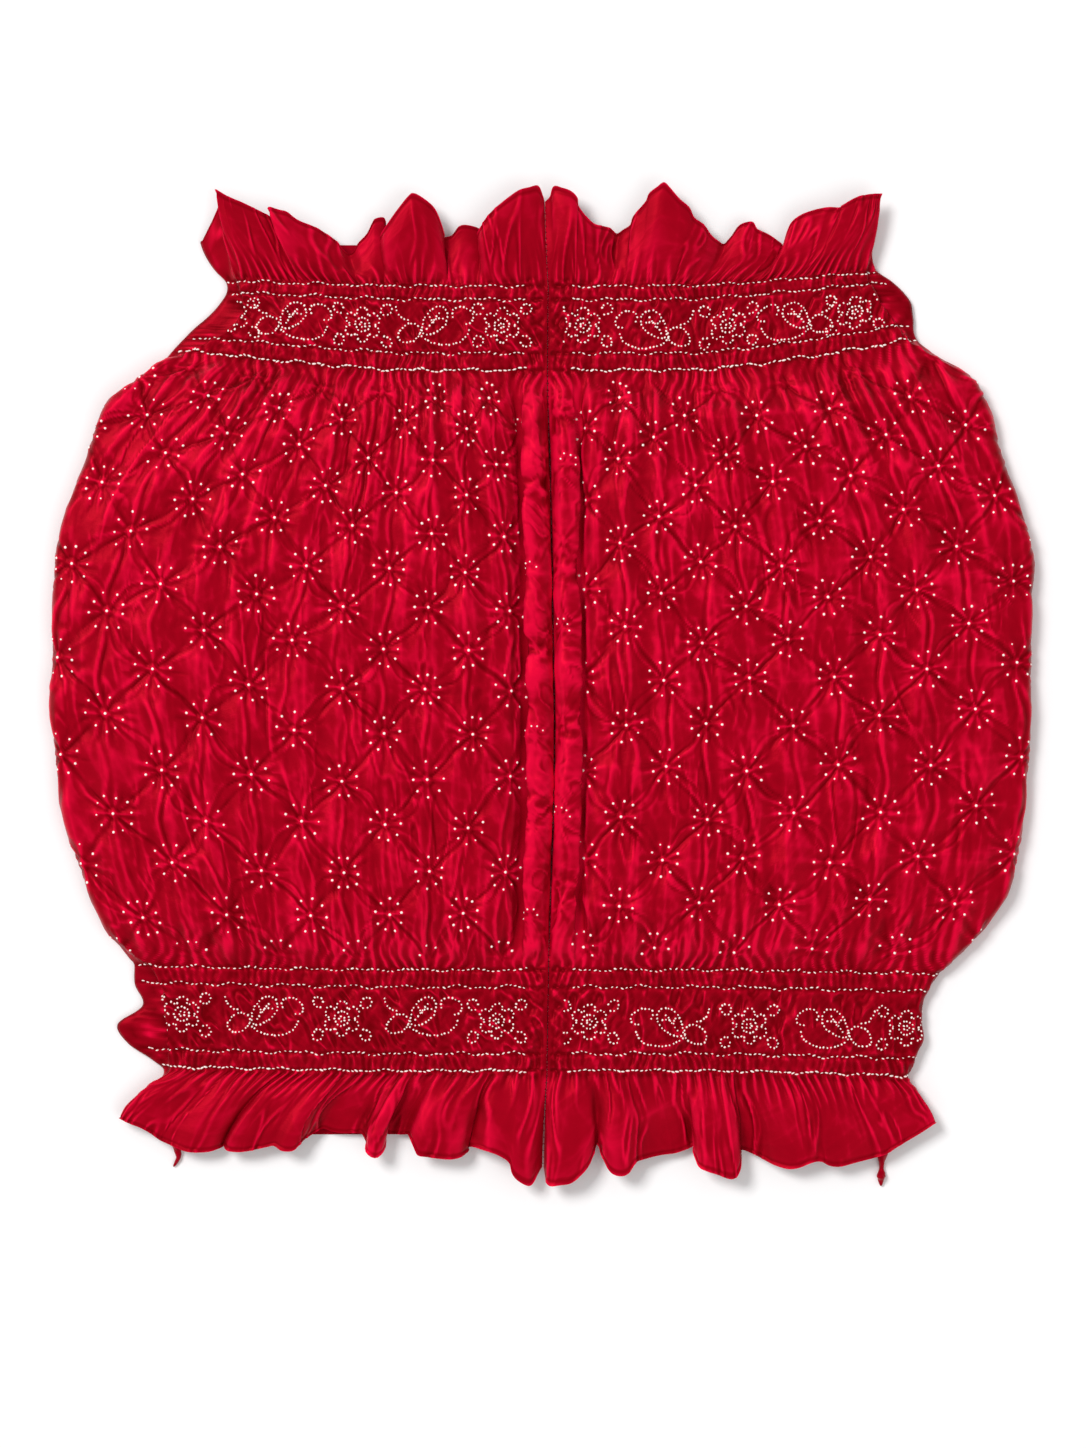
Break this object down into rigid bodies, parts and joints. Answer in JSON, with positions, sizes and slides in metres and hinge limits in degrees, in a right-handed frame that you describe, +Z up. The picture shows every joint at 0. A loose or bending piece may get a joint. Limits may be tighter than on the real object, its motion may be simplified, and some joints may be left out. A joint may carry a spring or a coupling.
{
  "type": "bandhani cloth",
  "caption": "Crimson tie-dyed cloth with a seam down its middle, still crinkled from its ties, its sides folded under, with ruched bands and ruffled hems.",
  "frame": {"origin": "centre of the cloth's outline, on the surface that it lies on", "axes": "+Z up out of the cloth's face, +Y up its length towards the upper frill, +X across it to the right width"},
  "size_m": [0.4633, 0.471, 0.0175],
  "materials": {
    "left_silk": "thin satin silk, tie-dyed crimson with small undyed spots, crinkled",
    "right_silk": "thin satin silk, tie-dyed crimson with small undyed spots, crinkled"
  },
  "bodies": {
    "root": {"left_width": "left_silk", "right_width": "right_silk"}
  },
  "joints": []
}
